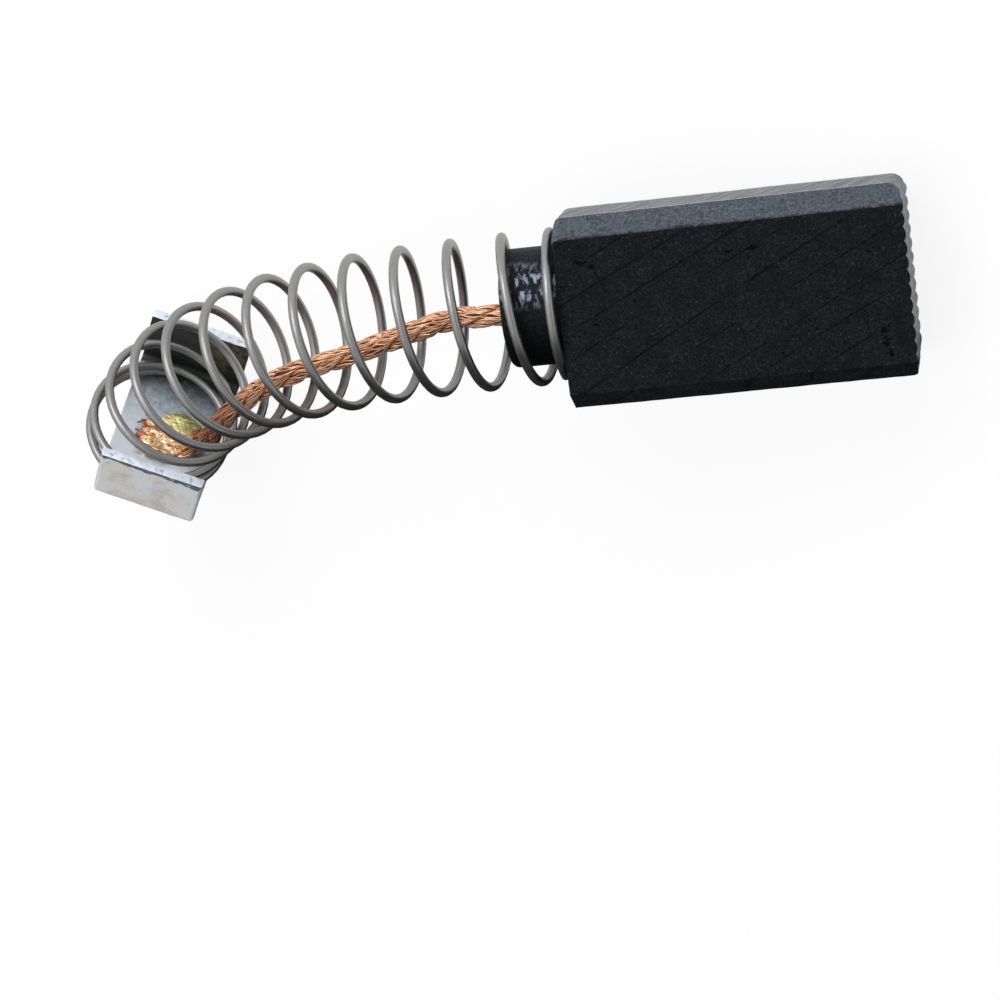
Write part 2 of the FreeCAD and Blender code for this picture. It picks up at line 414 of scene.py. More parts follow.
# Material helpers
class Value:
    """A value in a node tree; sums, products, spans and blends of it add the nodes that work them out."""

    def __init__(self, socket):
        self.socket = socket
        self.tree = socket.id_data

    def maths(self, operation, a, b=0.0):
        return put(self.tree, "Math", {0: a, 1: b}, operation=operation)[0]

    def __add__(self, other):
        return self.maths("ADD", self, other)

    def __sub__(self, other):
        return self.maths("SUBTRACT", self, other)

    def __rsub__(self, other):
        return self.maths("SUBTRACT", other, self)

    def __mul__(self, other):
        return self.maths("MULTIPLY", self, other)

    def __abs__(self):
        return self.maths("ABSOLUTE", self)

    def most(self, other):
        return self.maths("MAXIMUM", self, other)

    def span(self, low, high, to_low=0.0, to_high=1.0, kind="LINEAR"):
        """Where the value lies between two limits, which become two others; it stays within those."""
        limits = {"Value": self, "From Min": low, "From Max": high, "To Min": to_low, "To Max": to_high}
        return put(self.tree, "MapRange", limits, interpolation_type=kind, clamp=True)[0]

    def blend(self, first, second):
        """From one colour to another, by the value."""
        return put(self.tree, "Mix", {0: self, 6: first, 7: second}, data_type="RGBA")[2]

    def split(self):
        found = put(self.tree, "SeparateXYZ", {"Vector": self})
        return found[0], found[1], found[2]

    def stretched(self, *scale):
        return put(self.tree, "Mapping", {"Vector": self, "Scale": scale})[0]

    def turned(self, *degrees):
        """The same place, in directions turned about X, Y and Z."""
        turn = [math.radians(part) for part in degrees]
        return put(self.tree, "Mapping", {"Vector": self, "Rotation": turn}, vector_type="TEXTURE")[0]

    def clouds(self, scale, detail=2.0, roughness=0.5, distortion=0.0):
        """Soft noise at the place."""
        return put(self.tree, "TexNoise", {"Vector": self, "Scale": scale, "Detail": detail,
                                           "Roughness": roughness, "Distortion": distortion})[0]

    def use(self, group, **numbers):
        """What a group of nodes finds at the place."""
        inputs = {"Vector": self, **spaced(numbers)}
        return put(self.tree, "Group", inputs, node_tree=bpy.data.node_groups[group])


def spaced(inputs):
    return {key.replace("_", " "): value for key, value in inputs.items()}


def connect(node, inputs):
    """Links what is a value of the tree, and sets what is a number or a colour."""
    for key, value in inputs.items():
        socket = node.inputs[key]
        if isinstance(value, Value):
            node.id_data.links.new(value.socket, socket)
        elif socket.type == "RGBA":
            socket.default_value = (*value[:3], 1.0)
        else:
            socket.default_value = value


def put(tree, kind, inputs, **settings):
    """Adds a node; its outputs are found by number and by name."""
    node = tree.nodes.new("ShaderNode" + kind)
    for key, value in settings.items():
        setattr(node, key, value)
    connect(node, inputs)
    outputs = {}
    for index, socket in enumerate(node.outputs):
        outputs[index] = outputs[socket.name] = Value(socket)
    return outputs


def new_group(name, numbers, results):
    tree = bpy.data.node_groups.new(name, "ShaderNodeTree")
    tree.interface.new_socket("Vector", in_out="INPUT", socket_type="NodeSocketVector")
    for label, value in numbers.items():
        socket = tree.interface.new_socket(label, in_out="INPUT", socket_type="NodeSocketFloat")
        socket.default_value = value
    for label in results:
        tree.interface.new_socket(label, in_out="OUTPUT", socket_type="NodeSocketFloat")
    given = {socket.name: Value(socket) for socket in tree.nodes.new("NodeGroupInput").outputs}
    return given, tree.nodes.new("NodeGroupOutput")


def grain_group():
    """Fine irregular grain with small pits, for pressed and ground carbon alike."""
    numbers = {"Grain Scale": 9000.0, "Pit Scale": 1500.0, "Pit Share": 0.16}
    given, result = new_group("Grain and pits", numbers, ("Grain", "Pits", "Height"))
    here = given["Vector"]
    grain = here.clouds(given["Grain Scale"], 4.0, 0.62)
    cells = put(here.tree, "TexVoronoi", {"Vector": here, "Scale": given["Pit Scale"]})
    chance = put(here.tree, "SeparateColor", {"Color": cells["Color"]})
    pits = cells["Distance"].span(0.0, given["Pit Share"] * chance[0], 1.0, 0.0) * chance[1].span(0.45, 0.6)
    connect(result, {"Grain": grain, "Pits": pits, "Height": grain - pits * 2.0})


def marks_group():
    """Parallel marks that run along the local Y direction: saw grooves, grinding and cutter marks."""
    numbers = {"Spacing": 700.0, "Sharpness": 0.75, "Wobble": 1.3, "Breakup": 0.5}
    given, result = new_group("Parallel marks", numbers, ("Mask", "Streaks"))
    here, spacing = given["Vector"], given["Spacing"]
    drawn = here.stretched(1.0, 0.06, 1.0)
    phase = here.split()[0] * spacing + drawn.clouds(spacing, 1.0) * given["Wobble"]
    line = (phase.maths("PINGPONG", phase, 0.5) * 2.0).span(given["Sharpness"], 1.0, kind="SMOOTHSTEP")
    low = given["Breakup"] * 0.9
    there = here.clouds(spacing * 0.7).span(low, low + 0.18)
    connect(result, {"Mask": line * there, "Streaks": drawn.clouds(spacing * 7.0, 5.0, 0.7)})


def smudge_group():
    """Soft stains and smudges over a few sizes."""
    given, result = new_group("Smudges", {"Scale": 500.0, "Cover": 0.5}, ("Mask", "Tone"))
    here, scale = given["Vector"], given["Scale"]
    broad = here.clouds(scale, 5.0, 0.6, 0.6)
    low = 0.85 - given["Cover"] * 0.6
    connect(result, {"Mask": broad.span(low, low + 0.16), "Tone": broad * here.clouds(scale * 3.3) * 3.4})


def new_material(name, place=None):
    """A material, and the point on the piece in the block's own directions or in those of a given place."""
    material = bpy.data.materials.new(name)
    material.use_nodes = True
    place = place or lie_down()
    where = put(material.node_tree, "TexCoord", {})["Object"]
    here = put(where.tree, "Mapping", {"Vector": where, "Location": place.translation,
                                       "Rotation": place.to_euler()}, vector_type="TEXTURE")[0]
    return material, here


def on_plate(name):
    """A material, and the point in the terminal's own directions: up the plate, across it and out of it."""
    return new_material(name, lie_down() @ terminal_place())


def tones(base, mask, first, second, *layers):
    """From one colour to another by a mask, then others over them by masks; numbers multiply the base."""
    def found(value):
        return tuple(min(1.0, c * value) for c in base) if isinstance(value, float) else value

    tone = mask.blend(found(first), found(second))
    for over, value in layers:
        tone = over.blend(tone, found(value))
    return tone


def surface(material, tone, roughness, bumps=None, **others):
    """Wires up the Principled shader; bumps are a height, their strength and their depth in mm."""
    inputs = {"Base Color": tone, "Roughness": roughness, **spaced(others)}
    if bumps:
        height, strength, depth = bumps
        bump = {"Height": height, "Strength": strength, "Distance": depth * MM}
        inputs["Normal"] = put(material.node_tree, "Bump", bump)[0]
    connect(material.node_tree.nodes["Principled BSDF"], inputs)
    return material


def chips(here):
    """Mask of the small chips; noise moves each point, by 0.37 mm on average, for ragged outlines."""
    ragged = put(here.tree, "TexNoise", {"Vector": here, "Scale": 2600.0, "Detail": 3.0})["Color"]
    moved = put(here.tree, "VectorMath", {0: ragged, "Scale": 0.75 * MM}, operation="SCALE")[0]
    where = put(here.tree, "VectorMath", {0: here, 1: moved}, operation="ADD")[0]
    found = 0.0
    for along, across, long, wide in CHIPS:
        place = {"Vector": where, "Location": ((along + 0.37) * MM, (across + 0.37) * MM, 0.0),
                 "Scale": (long * MM, wide * MM, 1.0)}
        place = put(here.tree, "Mapping", place, vector_type="TEXTURE")[0]
        far = put(here.tree, "VectorMath", {0: place}, operation="LENGTH")["Value"]
        found = far.span(1.1, 0.85).most(found)
    return found


def pressed_carbon():
    """Broad faces: fine grain with light specks, pits, small chips and long saw grooves."""
    material, here = new_material("Pressed carbon")
    grain, cloudy = here.clouds(6800.0, 5.0, 0.78), here.clouds(900.0, 3.0)
    specks = here.use("Grain and pits", Pit_Scale=4600.0, Pit_Share=0.4)["Pits"]
    pits = here.use("Grain and pits", Pit_Scale=1500.0, Pit_Share=0.26)["Pits"]
    slanted = here.turned(0, 0, -63)
    groove = slanted.use("Parallel marks", Spacing=640.0, Sharpness=0.88, Wobble=1.1, Breakup=0.4)["Mask"]
    dark = pits.most(groove * 0.7).most(chips(here))
    tone = tones(brush().finish.pressed, grain.span(0.38, 0.66), 0.16, 1.9,
                 (cloudy.span(0.65, 0.35, 0.0, 0.5), 0.3), (specks * 0.5, 6.5), (dark, 0.12))
    return surface(material, tone, grain.span(0.3, 0.7, 0.55, 0.75), (grain + specks - dark * 2.0, 0.7, 0.04),
                   Specular_IOR_Level=0.05)


def spigot_carbon():
    """Moulded skin of the spigot: darker towards its lower side as painted shade, and a glossy patch on its
    upper side, real gloss in roughness and metal with a painted highlight in its bluish colour.
    """
    material, here = new_material("Moulded carbon")
    along, across, over = here.split()
    grain = here.use("Grain and pits", Grain_Scale=4200.0, Pit_Scale=2300.0, Pit_Share=0.35)
    facet = here.stretched(1.0, 0.5, 0.5).clouds(3600.0, 3.0, 0.6)
    # Place of the glossy patch; its bluish colour below is a painted highlight.
    near = abs(across - 2.1 * MM).span(1.5 * MM, 0.2 * MM) * over.span(1.5 * MM, 2.1 * MM)
    glossy = facet.span(0.5, 0.64) * near
    # The tone darkens towards the lower side as painted shade; the bluish patch colour is a painted
    # highlight.
    tone = tones(brush().finish.pressed, grain["Grain"].span(0.35, 0.65), 0.1, 1.1,
                 (across.span(3.0 * MM, -3.0 * MM), 0.08), (grain["Pits"], 0.1), (glossy, (0.26, 0.31, 0.4)))
    height = grain["Height"] + facet * 2.0
    return surface(material, tone, glossy.span(0.0, 1.0, 0.55, 0.28), (height, 0.6, 0.06),
                   Metallic=glossy * 0.7, Specular_IOR_Level=0.12)


def ground_carbon():
    """Ground corners: mottled, with short cross marks, pits and a ragged edge to the broad face."""
    material, here = new_material("Ground carbon")
    grain, cloudy = here.clouds(5200.0, 5.0, 0.75), here.clouds(1100.0, 3.0)
    pits = here.use("Grain and pits", Pit_Scale=2600.0, Pit_Share=0.42)["Pits"]
    streaks = here.turned(0, 0, -4).use("Parallel marks", Spacing=950.0)["Streaks"]
    edge = abs(here.split()[2]) + (cloudy * (0.5 * MM) + grain * (0.8 * MM))
    top = brush().block.thickness / 2
    tone = tones(brush().finish.ground, streaks.span(0.42, 0.58), 0.5, 1.4,
                 (grain.span(0.53, 0.42, 0.0, 0.85), 0.4), (cloudy.span(0.65, 0.35, 0.0, 0.5), 1.0),
                 (pits, 0.1), (edge.span(top + 0.5 * MM, top + 0.62 * MM), 0.1))
    return surface(material, tone, 0.55, (grain + streaks - pits * 2.0, 0.7, 0.03), Specular_IOR_Level=0.15)


def milled_carbon():
    """Sides and wear face, with slanting cutter marks and a bright line under the ground corner."""
    material, here = new_material("Milled carbon")
    along, across, level = here.split()
    grain = here.use("Grain and pits", Grain_Scale=8000.0, Pit_Scale=2400.0, Pit_Share=0.34)
    streaks = here.turned(90, 0, 0).turned(0, 0, 24).use("Parallel marks", Spacing=420.0)["Streaks"]
    level = abs(level) + grain["Grain"] * (0.2 * MM)
    half = brush().block.thickness / 2 - brush().block.corner_on_thickness
    bright = level.span(half - 0.3 * MM, half) * along.span(-0.9 * MM, -1.2 * MM)
    tone = tones(brush().finish.milled, streaks.span(0.42, 0.6), 0.4, 1.75, (bright, 2.6),
                 (grain["Grain"].span(0.58, 0.42), 0.6), (grain["Pits"], 0.12))
    return surface(material, tone, 0.5, (grain["Height"] + streaks * 2.0, 0.5, 0.04), Specular_IOR_Level=0.3)


def rubbed_carbon():
    material, here = new_material("Rubbed carbon")
    grain = here.use("Grain and pits", Grain_Scale=6000.0, Pit_Scale=2600.0, Pit_Share=0.35)
    tone = tones(brush().finish.rubbed, grain["Grain"].span(0.42, 0.58), 0.25, 1.5, (grain["Pits"], 0.15))
    return surface(material, tone, 0.5, (grain["Height"], 0.5, 0.04), Specular_IOR_Level=0.2)


def tamped_powder():
    material, here = new_material("Tamped powder")
    grain = here.use("Grain and pits", Grain_Scale=14000.0, Pit_Scale=5000.0, Pit_Share=0.4)
    tone = tones(brush().finish.powder, grain["Grain"], 0.4, 2.2)
    return surface(material, tone, 0.8, (grain["Height"], 0.9, 0.06))


def spring_steel():
    """Drawn wire, with fine lines along it and a few smudges."""
    material, here = new_material("Drawn spring steel")
    wire = put(here.tree, "UVMap", {}, uv_map="Wire")[0]
    drawn = wire.stretched(26.0, 1.2, 1.0).clouds(1.0, 5.0, 0.65)
    smudge = here.use("Smudges", Scale=420.0, Cover=0.34)["Mask"]
    tone = tones(brush().finish.steel, drawn, 0.72, 1.3, (smudge * 0.3, (0.2, 0.19, 0.17)))
    return surface(material, tone, drawn.span(0.3, 0.7, 0.33, 0.5), (drawn, 0.25, 0.02), Metallic=1.0)


def bare_copper():
    """Wires of the rope, each with a tone of its own, and darker and redder near the plate and at the tips.
    """
    material, here = new_material("Bare copper strands")
    own, darker_red = (put(here.tree, "Attribute", {}, attribute_name=name)["Fac"] for name in ("tone", "darker_red"))
    smudge = here.use("Smudges", Scale=1400.0, Cover=0.5)
    tone = tones(brush().finish.copper, own, 0.66, (1.0, 0.64, 0.42),
                 (smudge["Mask"] * 0.45, (0.42, 0.14, 0.07)), (darker_red * 0.85, (0.2, 0.028, 0.014)))
    return surface(material, tone, smudge["Tone"].span(0.2, 1.2, 0.26, 0.46), Metallic=1.0)


def dark_gaps():
    # Painted shade: dark tubes inside the strands stand for the shade between the copper wires.
    material, here = new_material("Painted shade between the wires")
    tone = here.clouds(4000.0, 3.0).blend((0.02, 0.008, 0.005), (0.16, 0.05, 0.025))
    return surface(material, tone, 0.6)


def pressed_copper():
    """Pressed end of the lead: drawn ridges with dark lines, reddened at its tip."""
    material, here = on_plate("Pressed copper")
    smudge = here.use("Smudges", Scale=1900.0, Cover=0.5)
    lines = here.stretched(1.0, 0.14, 0.3).clouds(7000.0, 3.0)
    tip = here.split()[1] + smudge["Tone"] * (0.5 * MM)
    tone = tones(WHITE, smudge["Tone"].span(0.4, 1.2), (0.72, 0.26, 0.12), (0.97, 0.72, 0.42),
                 (lines.span(0.56, 0.66), (0.98, 0.85, 0.6)), (lines.span(0.42, 0.34), (0.3, 0.07, 0.03)),
                 (tip.span(1.6 * MM, 2.2 * MM), (0.62, 0.07, 0.025)))
    return surface(material, tone, 0.32, (smudge["Tone"] + lines, 0.6, 0.05), Metallic=1.0)


def solid_filler():
    """Brassy filler, paler towards its lower edge."""
    material, here = on_plate("Solidified filler")
    up, aside, out = here.split()
    smudge = here.use("Smudges", Scale=1500.0, Cover=0.42)
    pale = smudge["Tone"] * (1.2 * MM) + aside
    tone = tones(brush().finish.brass, pale.span(-0.3 * MM, 1.2 * MM), 0.62, (1.0, 0.87, 0.42),
                 (smudge["Mask"] * 0.55, (0.34, 0.25, 0.06)),
                 (up.span(0.3 * MM, -0.6 * MM, 0.0, 0.7), (1.0, 0.82, 0.46)))
    return surface(material, tone, 0.3, (smudge["Tone"], 0.45, 0.08), Metallic=0.75)


def zinc_sheet():
    """Outer side: chalky white plating with stains, and a painted burr shadow as a dark line under the rim.
    """
    material, here = on_plate("Zinc plated sheet")
    fine, warm = here.clouds(2000.0, 5.0, 0.6), here.clouds(420.0, 3.0)
    smudge = here.use("Smudges", Scale=420.0, Cover=0.6)["Mask"]
    edge = here.split()[2] + here.clouds(900.0, 3.0) * (1.1 * MM)
    rim = brush().terminal.flange
    # Painted shadow of a burr: a dark line just under the rim.
    burr_shadow = edge.span(rim + 0.08 * MM, rim + 0.2 * MM) * 0.9 * fine.span(0.32, 0.46)
    tone = tones(brush().finish.zinc, warm.span(0.42, 0.6), 1.05, (0.84, 0.8, 0.75),
                 (fine.span(0.37, 0.27), 0.62), (smudge * 0.42, (0.4, 0.36, 0.31)),
                 (burr_shadow, (0.07, 0.08, 0.11)))
    return surface(material, tone, 0.5, (fine, 0.5, 0.05), Metallic=0.3)


def inner_zinc():
    """Inner side: a darker bluish copy of the plating as painted shade, a painted reflection bright towards
    the outer corner of the plate, and painted shade in the upper fold.
    """
    material, here = on_plate("Zinc, inner side")
    up, aside, out = here.split()
    smudge, fine = here.use("Smudges", Scale=600.0, Cover=0.4), here.clouds(3200.0, 4.0)
    # Painted reflection, brighter towards the outer corner of the plate.
    painted_reflection = aside * 0.55 - up + smudge["Tone"] * (0.5 * MM)
    # Painted shade, dark in the upper fold; the olive tint lies inside it.
    painted_fold_shade = (up + smudge["Tone"] * (0.7 * MM)).span(2.6 * MM, 4.7 * MM)
    olive = aside.span(0.6 * MM, -1.4 * MM) * out.span(1.4 * MM, 2.6 * MM) * painted_fold_shade * fine.span(0.35, 0.6)
    painted_reflection = painted_reflection.span(-0.6 * MM, 2.6 * MM)
    tone = tones(brush().finish.zinc_inner, fine.span(0.35, 0.65), 0.8, 1.25, (painted_reflection, (0.7, 0.75, 0.8)),
                 (smudge["Mask"] * 0.25, (0.5, 0.52, 0.5)), (painted_fold_shade, (0.045, 0.05, 0.05)),
                 (olive, (0.24, 0.19, 0.1)))
    return surface(material, tone, smudge["Tone"].span(0.3, 1.2, 0.26, 0.42), (fine, 0.3, 0.03), Metallic=0.6)


def sheared_zinc():
    material, here = on_plate("Sheared edge")
    fine = here.clouds(2200.0, 4.0)
    tone = tones(brush().finish.zinc, fine.span(0.3, 0.44), 0.4, (0.67, 0.73, 0.81))
    return surface(material, tone, 0.36, (fine, 0.6, 0.06), Metallic=0.4)


class BRUSH_OT_block(bpy.types.Operator):
    """Block with ground corners, scalloped wear face and round spigot"""
    bl_idname = "brush.block"
    bl_label = "Carbon block"

    def execute(self, context):
        b = brush().block
        piece = self.section(b)
        self.stretch(b)
        self.shape_wear_end(piece, b)
        self.round_shoulder(piece, b)
        self.add_spigot(piece, b)
        self.weather(piece, b)
        finish_piece(piece, lie_down(), "carbon", "carbon_block", smooth_angle=24)
        return {"FINISHED"}

    def section(self, b):
        """Cross-section as a grid in the shoulder's plane, with its four corners cut off."""
        clear_selection()
        bpy.ops.mesh.primitive_grid_add(x_subdivisions=round(b.thickness / b.cell / 4),
                                        y_subdivisions=round(b.width / b.cell), size=1,
                                        rotation=(0, math.pi / 2, 0))
        piece = added("carbon_body")
        bpy.ops.object.transform_apply(rotation=True)
        edit_all()
        bpy.ops.transform.resize(value=(1, b.width, b.thickness))
        bpy.ops.transform.translate(value=(-b.length, 0, 0))
        high = b.thickness / 2 - b.corner_on_thickness
        for side, face in ((-1, -1), (-1, 1), (1, -1), (1, 1)):
            slope = Vector((0, side * b.corner_on_thickness, face * b.corner_on_width))
            corner = Vector((-b.length, side * b.width / 2, face * high))
            bpy.ops.mesh.select_all(action="SELECT")
            bpy.ops.mesh.bisect(plane_co=corner, plane_no=slope.normalized(), clear_outer=True,
                                threshold=1e-7)
        leave_edit()
        return piece

    def stretch(self, b):
        """The section drawn out to the block's length in steps, short ones at both ends."""
        short, long_steps = [0.1 * MM] * 8, 66
        rest = (b.length - 2 * sum(short)) / long_steps
        edit_all()
        for step in short + [rest] * long_steps + short:
            draw_out(step, 0, 0)
        face_outwards()

    def shape_wear_end(self, piece, b):
        """Scallops and rounded corners, given to the last stretch of the block; the lower one is sharper."""
        reach = 1.2 * MM
        flat = b.width / 2 - b.wear_corner
        pitch = 2 * flat / b.ridges
        for vertex in piece.data.vertices:
            co = vertex.co
            if co.x < -reach:
                continue
            radius = b.wear_corner if co.y > 0 else b.lower_corner
            off = (co.y + flat) / pitch % 1.0 * 2 - 1
            recess = b.ridge_height * (off * off if abs(co.y) <= flat else 1.0)
            over = abs(co.y) - (b.width / 2 - radius)
            if over > 0:
                recess += radius - math.sqrt(max(radius ** 2 - over ** 2, 0.0) + 1e-12)
            co.x -= recess * (co.x + reach) / reach
        piece.data.update()

    def wall(self, b, co):
        """The nearest wall of the block: its name, its direction across the block, and how far inside it."""
        slope = Vector((b.corner_on_thickness, b.corner_on_width)).normalized()
        reach = Vector((b.width / 2, b.thickness / 2 - b.corner_on_thickness)).dot(slope)
        aside, over = math.copysign(1, co.y), math.copysign(1, co.z)
        walls = [("side", Vector((aside, 0)), b.width / 2), ("broad", Vector((0, over)), b.thickness / 2),
                 ("corner", Vector((aside * slope.x, over * slope.y)), reach)]
        name, way, limit = min(walls, key=lambda wall: wall[2] - wall[1].dot(co.yz))
        return name, way, limit - way.dot(co.yz)

    def round_shoulder(self, piece, b):
        """Rounds the shoulder's outer edge on the side of the ground corners that show."""
        for vertex in piece.data.vertices:
            co = vertex.co
            radius = b.shoulder_round * smooth(co.y, b.width / 5, b.width / 2)
            into = co.x + b.length
            if radius < 0.01 * MM or into > radius:
                continue
            name, way, inside = self.wall(b, co)
            a, c = radius - into, radius - inside
            if c <= 0 or math.hypot(a, c) <= radius:
                continue
            share = 1 - radius / math.hypot(a, c)
            co.x += a * share
            co.y -= way.x * c * share
            co.z -= way.y * c * share

    def rod(self, name, vertices, diameter, depth, place, ends="NGON"):
        """A round bar along the block's length."""
        clear_selection()
        bpy.ops.mesh.primitive_cylinder_add(vertices=vertices, radius=diameter / 2, depth=depth,
                                            end_fill_type=ends, rotation=(0, math.pi / 2, 0), location=place)
        bpy.ops.object.transform_apply(location=True, rotation=True)
        return added(name)

    def add_spigot(self, piece, b):
        """The spigot joined on, with its rim rounded, and the bore cut out."""
        place = (-b.length, b.spigot_rise, 0)
        spigot = self.rod("spigot", 160, b.spigot_diameter, 2 * b.spigot_length, place, "TRIFAN")
        rim_x = -b.length - b.spigot_length
        off_axis = lambda co: (co.yz - Vector((b.spigot_rise, 0))).length > 1 * MM
        pick_edges(spigot, lambda p, q: abs(p.x + q.x - 2 * rim_x) < TINY and off_axis(p) and off_axis(q))
        bpy.ops.mesh.bevel(offset=0.35 * MM, segments=5, affect="EDGES")
        leave_edit()
        bore = self.rod("bore", 64, b.bore_diameter, 2 * b.bore_depth, (rim_x, 0, 0))
        for operation, helper in (("UNION", spigot), ("DIFFERENCE", bore)):
            modify(piece, ("BOOLEAN", {"operation": operation, "solver": "EXACT", "object": helper}))
            bpy.data.objects.remove(helper)

    def weather(self, piece, b):
        """Faces given their finish, the lower ground corners the dark broad-face finish as painted shade;
        edges rubbed round, and the whole made slightly uneven.
        """
        coat(piece, pressed_carbon(), ground_carbon(), rubbed_carbon(), milled_carbon(), spigot_carbon())
        slots = {"broad": 0, "corner": 1, "edge": 2, "side": 3, "spigot": 4}
        for face in piece.data.polygons:
            at = face.center
            name = self.wall(b, at)[0]
            if at.x < -b.length + 0.02 * MM:
                name = "spigot" if at.x < -b.length - 0.01 * MM else "broad"
            elif at.x > -MM and face.normal.x > 0.55:
                name = "side"
            # Painted shade: the lower ground corners get the dark broad-face finish, though they are ground
            # like the upper ones.
            elif name == "corner" and at.y < 0:
                name = "broad"
            face.material_index = slots[name]
        modify(piece, rounding(b.edge_wear, 28, material=slots["edge"], use_clamp_overlap=True),
               dents("Uneven", 1.1, 0.05))


class BRUSH_OT_plug(bpy.types.Operator):
    """Powder tamped round the lead in the bore"""
    bl_idname = "brush.plug"
    bl_label = "Tamping plug"

    def execute(self, context):
        node = frame["nodes"]["tamping_plug"]
        node.data.materials.clear()
        coat(node, tamped_powder())
        return {"FINISHED"}


def curve_through(name, lines, kind):
    """A curve object with one spline for each list of points; a fourth number is the point's radius."""
    curve = bpy.data.curves.new(name, "CURVE")
    curve.dimensions = "3D"
    for points in lines:
        spline = curve.splines.new(kind)
        spline.points.add(len(points) - 1)
        for spot, point in zip(spline.points, points):
            spot.co = (*point[:3], 1.0)
            if len(point) > 3:
                spot.radius = point[3]
    return linked(name, curve)


def tubes(name, lines, diameter, resolution):
    """A mesh of round tubes with closed ends, one for each list of points."""
    piece = curve_through(name, lines, "POLY")
    piece.data.bevel_depth = diameter / 2
    piece.data.bevel_resolution = resolution
    take(piece)
    bpy.ops.object.convert(target="MESH")
    edit_all()
    bpy.ops.mesh.fill_holes(sides=0)
    face_outwards()
    return bpy.context.object


def smooth_line(points, spacing):
    """Equally spaced points of the smooth spline that the given points control."""
    route = curve_through("route", [points], "NURBS")
    spline = route.data.splines[0]
    spline.order_u = 3
    spline.use_endpoint_u = True
    spline.resolution_u = 24
    mesh = bpy.data.meshes.new_from_object(route.evaluated_get(bpy.context.evaluated_depsgraph_get()))
    found = [vertex.co.copy() for vertex in mesh.vertices]
    bpy.data.objects.remove(route)
    bpy.data.meshes.remove(mesh)
    gone = [0.0]
    for a, b in zip(found, found[1:]):
        gone.append(gone[-1] + (b - a).length)
    steps = round(gone[-1] / spacing)
    line, k = [], 0
    for i in range(steps + 1):
        there = gone[-1] * i / steps
        while k < len(found) - 2 and gone[k + 1] < there:
            k += 1
        line.append(found[k].lerp(found[k + 1], (there - gone[k]) / (gone[k + 1] - gone[k])))
    return line


class BRUSH_OT_spring(bpy.types.Operator):
    """Bent pressure spring of one drawn wire, closed at both ends"""
    bl_idname = "brush.spring"
    bl_label = "Pressure spring"

    def execute(self, context):
        s = brush().spring
        axis, way = spring_axis(), coil_way()
        steps = round((s.turns_before + s.turns_after) * s.points_per_turn)
        step = (s.turns_before + s.turns_after) / steps
        points = [coil_point(axis, way, -s.turns_before + i * step) for i in range(steps + 1)]
        piece = tubes("spring_wire", [points], s.wire, resolution=5)
        self.lay_uv(piece.data, len(points), s)
        coat(piece, spring_steel())
        finish_piece(piece, lie_down(), "spring_steel", "pressure_spring", smooth_angle=50)
        return {"FINISHED"}

    def lay_uv(self, mesh, rings, s):
        """For the drawing lines: u goes once round the wire, v along it in millimetres."""
        layer = mesh.uv_layers.new(name="Wire")
        around = len(mesh.vertices) // rings
        length = math.pi * s.coil / MM * (rings - 1) / s.points_per_turn
        for face in mesh.polygons:
            spots = [mesh.loops[i].vertex_index for i in face.loop_indices]
            turns = [spot % around for spot in spots]
            wraps = max(turns) - min(turns) > around / 2
            for i, spot in zip(face.loop_indices, spots):
                u = spot % around
                if wraps and u < around / 2:
                    u += around
                layer.data[i].uv = (u / around, spot // around / rings * length)


